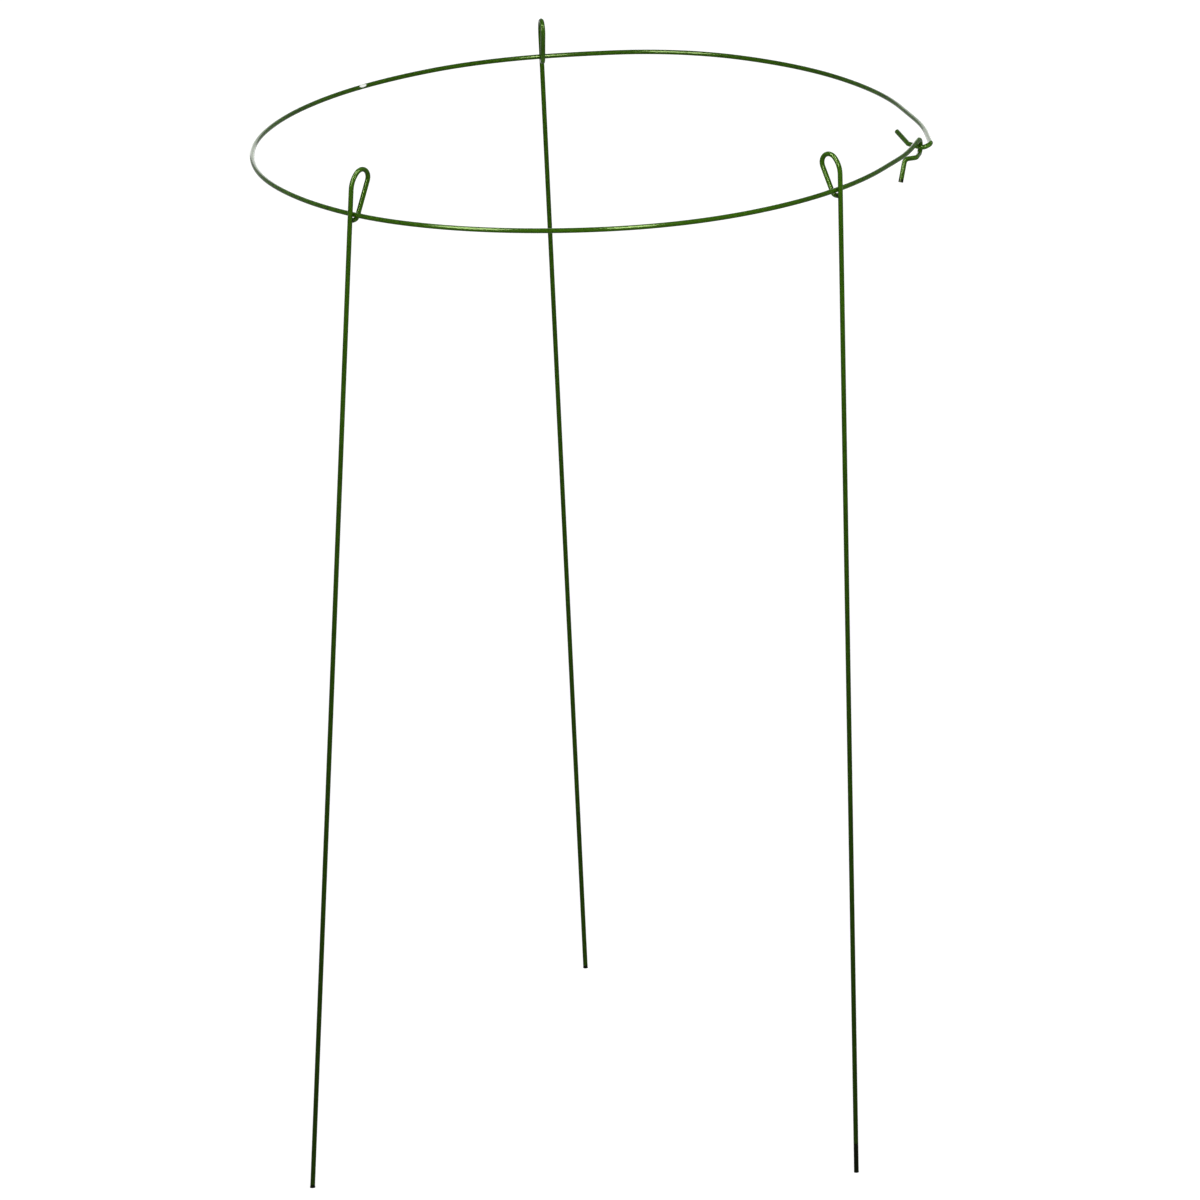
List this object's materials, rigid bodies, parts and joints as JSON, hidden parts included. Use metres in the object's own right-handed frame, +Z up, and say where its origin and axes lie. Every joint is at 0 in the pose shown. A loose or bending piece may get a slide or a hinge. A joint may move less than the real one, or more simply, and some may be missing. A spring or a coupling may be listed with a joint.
{
  "type": "ring plant support",
  "caption": "Free-standing wire ring plant support: a hoop of coated wire, closed by interlocked hooks, carried by long wire stakes whose looped tops swing on the hoop.",
  "frame": {"origin": "middle of the overall box, on the ground under the hoop", "axes": "+Z up along the stakes, +Y towards the back stake, +X towards the hoop's closure"},
  "size_m": [0.411, 0.4074, 0.646],
  "materials": {
    "coated_wire": "gloss"
  },
  "bodies": {
    "hoop": {"ring": "coated_wire"},
    "left_stake": {"stake_left": "coated_wire"},
    "right_stake": {"stake_right": "coated_wire"},
    "back_stake": {"stake_back": "coated_wire"}
  },
  "joints": [
    {"name": "swing_left", "type": "hinge", "parent": "hoop", "child": "left_stake", "pos_m": [-0.14175, -0.14724, 0.618], "axis": [-0.7254, 0.6884, 0], "range_deg": [-17.4, 86.6]},
    {"name": "swing_right", "type": "hinge", "parent": "hoop", "child": "right_stake", "pos_m": [0.14338, -0.13728, 0.618], "axis": [-0.6756, -0.7373, 0], "range_deg": [-14.7, 89.3]},
    {"name": "swing_back", "type": "hinge", "parent": "hoop", "child": "back_stake", "pos_m": [-0.02845, 0.19634, 0.618], "axis": [0.9925, 0.1219, 0], "range_deg": [-14.2, 89.8]}
  ]
}
